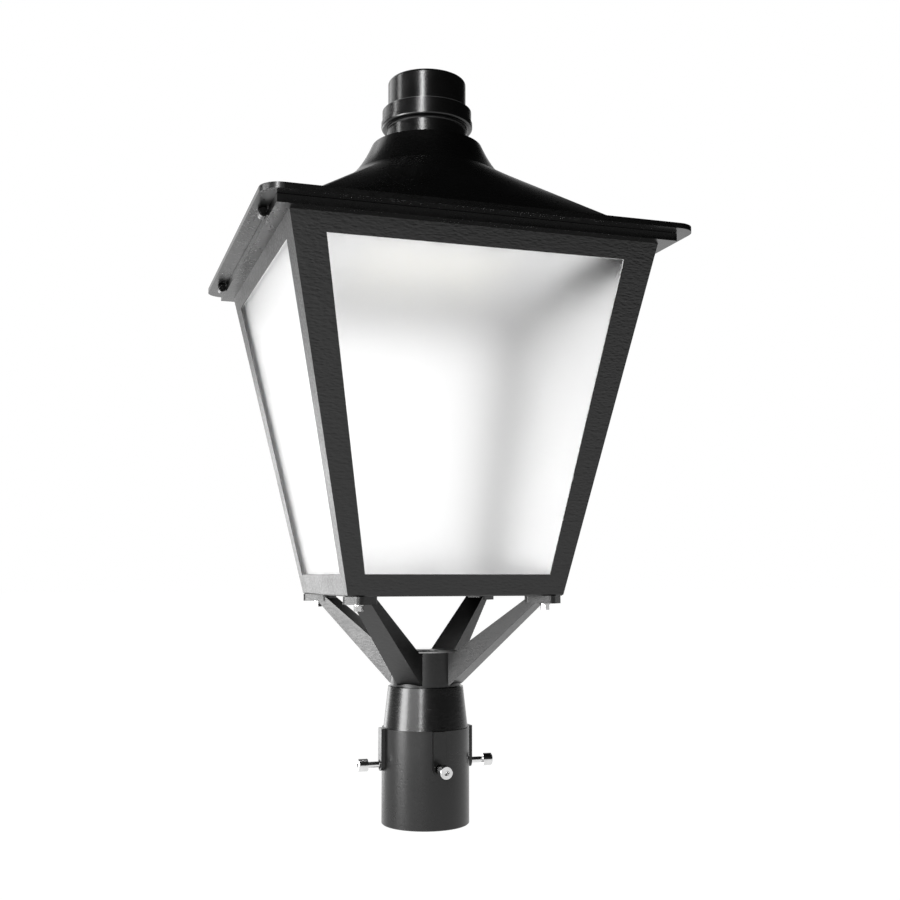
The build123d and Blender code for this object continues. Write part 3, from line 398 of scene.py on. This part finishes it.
def makeFloor():
    half = floorPaper["size"] / 2
    mesh = bpy.data.meshes.new("studio_floor")
    corners = [(-half, -half), (half, -half), (half, half), (-half, half)]
    mesh.from_pydata([(x, y, -floorPaper["drop"]) for x, y in corners], [], [(0, 1, 2, 3)])
    floor = bpy.data.objects.new("studio_floor", mesh)
    bpy.context.scene.collection.objects.link(floor)
    material, tree = newMaterial("studio_white")
    camera = tree.node("ShaderNodeLightPath", output="Is Camera Ray")
    glossy = camera.neighbour("Is Glossy Ray")
    through = camera.neighbour("Is Transmission Ray")
    glow = tree.node("ShaderNodeEmission", None, {"Color": grey(1), "Strength": floorPaper["glow"]})
    tone = tree.blend(tree.noise(floorPaper["cloud"], 2), grey(floorPaper["dark"]), grey(floorPaper["light"]))
    paper = tree.node("ShaderNodeBsdfDiffuse", None, {"Color": tone})
    seen = tree.node("ShaderNodeMath", {"operation": "MINIMUM"}, {0: camera + glossy + through, 1: 1.0})
    mixed = tree.node("ShaderNodeMixShader", None, {0: seen * floorPaper["share"], 1: paper, 2: glow})
    tree.node("ShaderNodeOutputMaterial", None, {"Surface": mixed})
    mesh.materials.append(material)


# white behind the lantern, dark overhead and in front; the panes let through a brighter left than right
surround = {"turn": 3, "backFrom": 0.6, "backFull": 0.88, "frontLevel": 0.02, "backLevel": 1.0,
            "topFrom": 0.4, "topFull": 0.82, "topLevel": 0.003,
            "acrossFrom": 0.05, "acrossFull": 0.6, "throughLeft": 1.32, "throughRight": 0.95}


def makeWorld():
    world = bpy.data.worlds.new("studio_world")
    bpy.context.scene.world = world
    tree = Tree(world)
    direction = tree.node("ShaderNodeTexCoord", output="Generated")
    up = tree.node("ShaderNodeSeparateXYZ", None, {"Vector": direction}, output="Z")
    turn = math.radians(surround["turn"])
    away = tree.node("ShaderNodeVectorMath", {"operation": "DOT_PRODUCT"},
                     {0: direction, 1: (math.sin(turn), math.cos(turn), 0)}, output="Value")
    across = tree.node("ShaderNodeVectorMath", {"operation": "DOT_PRODUCT"},
                       {0: direction, 1: (math.cos(turn), -math.sin(turn), 0)}, output="Value")
    smooth = {"interpolation_type": "SMOOTHSTEP"}
    side = tree.spread(away, surround["backFrom"], surround["backFull"], surround["frontLevel"],
                       surround["backLevel"], smooth)
    level = tree.spread(up, surround["topFrom"], surround["topFull"], side, surround["topLevel"], smooth)
    inside = tree.spread(across, surround["acrossFrom"], surround["acrossFull"], surround["throughLeft"],
                         surround["throughRight"], smooth)
    camera = tree.node("ShaderNodeLightPath", output="Is Camera Ray")
    through = camera.neighbour("Is Transmission Ray")
    shown = tree.node("ShaderNodeMath", {"operation": "MAXIMUM"}, {0: camera, 1: through * inside})
    strength = tree.node("ShaderNodeMath", {"operation": "MAXIMUM"}, {0: shown, 1: level})
    background = tree.node("ShaderNodeBackground", None, {"Color": grey(1), "Strength": strength})
    tree.node("ShaderNodeOutputWorld", None, {"Surface": background})


softboxes = [
    # name, place, aim, width, height, watts
    ("left_softbox", (-1.78, -0.28, 0.47), (0, 0, 0.35), 0.7, 1.05, 41),
    ("low_left_panel", (-1.44, -1.08, 0.4), (0, 0, 0.2), 0.95, 0.5, 6),
    ("high_left_strip", (-1.84, 0.46, 1.5), (0, 0, 0.7), 0.16, 1.0, 7),
    ("high_back_panel", (-0.95, 1.2, 1.7), (0, 0, 0.65), 1.0, 0.7, 4),
    ("front_strip", (-0.875, -1.515, 1.1), (0, 0, 0.6), 0.19, 1.7, 36),
    ("back_left_panel", (-0.75, 2.1, 0.15), (0, 0, 0.35), 0.8, 0.9, 6),
]


def makeSoftbox(name, place, aim, width, height, watts):
    data = bpy.data.lights.new(name, "AREA")
    data.shape = "RECTANGLE"
    data.size = width
    data.size_y = height
    data.energy = watts
    lamp = bpy.data.objects.new(name, data)
    lamp.location = place
    lamp.rotation_euler = (Vector(aim) - Vector(place)).to_track_quat("-Z", "Y").to_euler()
    lamp.visible_camera = False
    bpy.context.scene.collection.objects.link(lamp)


# the camera stands low in front, a little to the left, and looks up by six degrees
view = {"place": (-0.3496, -1.1549, 0.2458), "turn": 18.016, "rise": 6.117, "lens": 46.865, "sensor": 36}


def makeCamera():
    data = bpy.data.cameras.new("camera")
    data.sensor_width = view["sensor"]
    data.lens = view["lens"]
    camera = bpy.data.objects.new("camera", data)
    camera.location = view["place"]
    camera.rotation_euler = (math.radians(90 + view["rise"]), 0, math.radians(-view["turn"]))
    bpy.context.scene.collection.objects.link(camera)
    bpy.context.scene.camera = camera


makeFloor()
makeWorld()
for settings in softboxes:
    makeSoftbox(*settings)
makeCamera()
bpy.context.scene.view_settings.view_transform = "Standard"
print("studio set")
